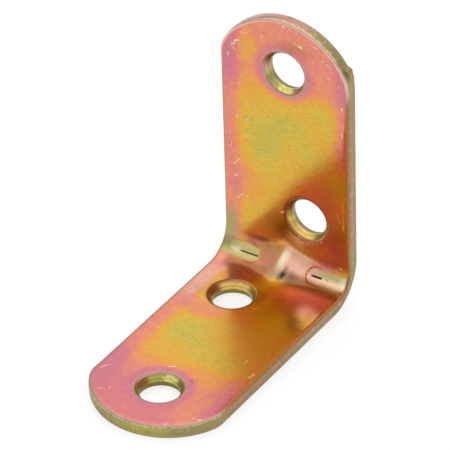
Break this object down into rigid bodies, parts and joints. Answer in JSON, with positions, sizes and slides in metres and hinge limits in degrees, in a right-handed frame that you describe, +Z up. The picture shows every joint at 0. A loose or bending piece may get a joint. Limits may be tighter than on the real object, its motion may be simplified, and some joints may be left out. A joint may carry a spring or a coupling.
{
  "type": "corner brace bracket",
  "caption": "Steel corner brace: one strip folded square over a pressed gusset, with rounded ends and punched screw holes in both legs.",
  "frame": {"origin": "middle of the heel line, where the planes of the two outer faces would meet", "axes": "+Z up along the upright leg, -Y out along the base leg, +X across the width"},
  "size_m": [0.0192, 0.04, 0.04],
  "materials": {
    "chromated_zinc_steel": "zinc plate with a yellow chromate film that plays gold, pink and green, glossy, scratched from barrel plating"
  },
  "bodies": {
    "root": {"brace": "chromated_zinc_steel"}
  },
  "joints": []
}
